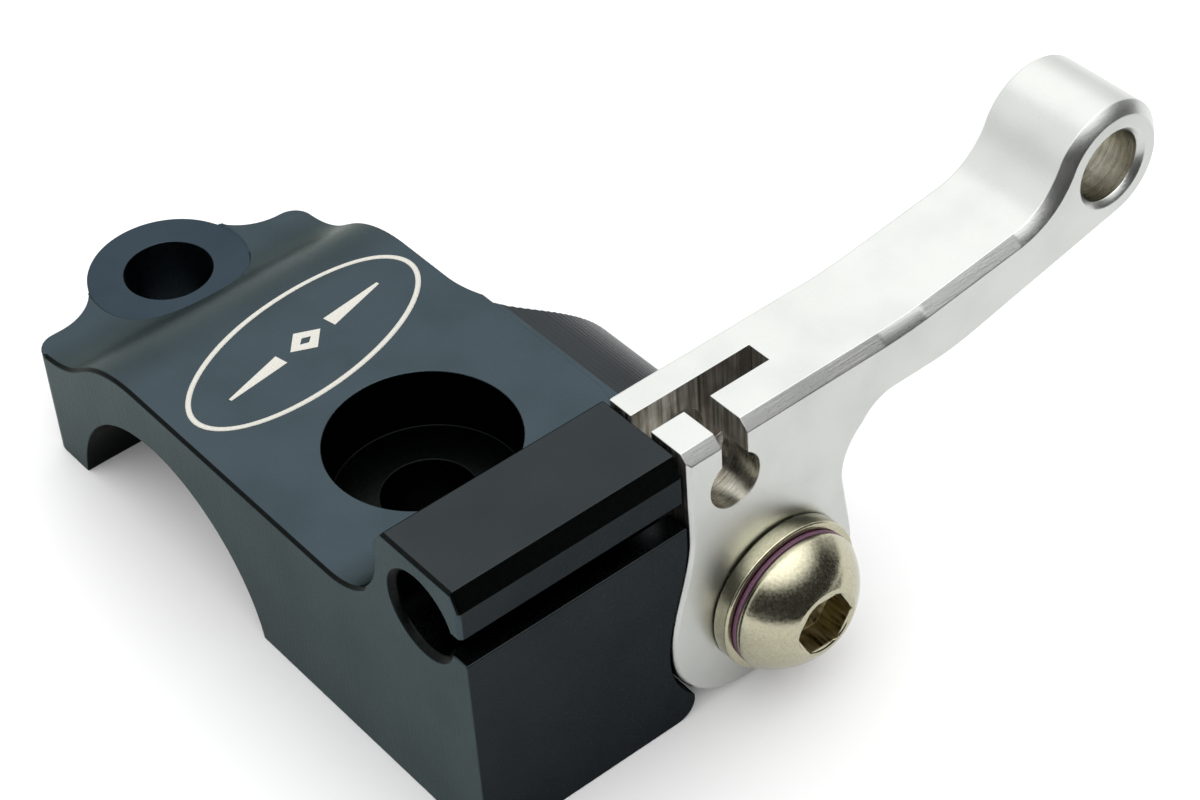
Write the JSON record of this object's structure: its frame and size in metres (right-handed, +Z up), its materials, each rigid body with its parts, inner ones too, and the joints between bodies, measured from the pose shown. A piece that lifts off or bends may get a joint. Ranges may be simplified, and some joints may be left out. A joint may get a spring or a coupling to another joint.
{
  "type": "auxiliary cable lever with handlebar half clamp",
  "caption": "Short machined cable lever on a screw pivot, carried by a black half clamp for a motorcycle handlebar with a slotted cable-housing ridge and bolt seats.",
  "frame": {"origin": "on the clamp's split face, above the handlebar's axis and on the line through both clamp bolts", "axes": "+X along the handlebar towards the lever's tip, +Y across the handlebar from the cable ridge to the far bolt boss, +Z up from the split face"},
  "size_m": [0.059, 0.0626, 0.0298],
  "materials": {
    "clamp_anodised": "black anodised, fine satin machining marks",
    "lever_aluminium": "bare satin aluminium with polished chamfers",
    "bronze": "plain turned bronze",
    "stainless": "bright stainless, slightly warm",
    "fibre": "dull plum-brown thread-lock ring"
  },
  "bodies": {
    "clamp": {"clamp_body": "clamp_anodised", "pivot_bushing": "bronze", "pivot_washer": "stainless", "head_ring": "fibre", "pivot_screw": "stainless"},
    "lever": {"lever": "lever_aluminium"}
  },
  "joints": [
    {"name": "lever_pivot", "type": "hinge", "parent": "clamp", "child": "lever", "pos_m": [0.01265, -0.032, 0.00689], "axis": [0, 1, 0], "range_deg": [0, 35]}
  ]
}
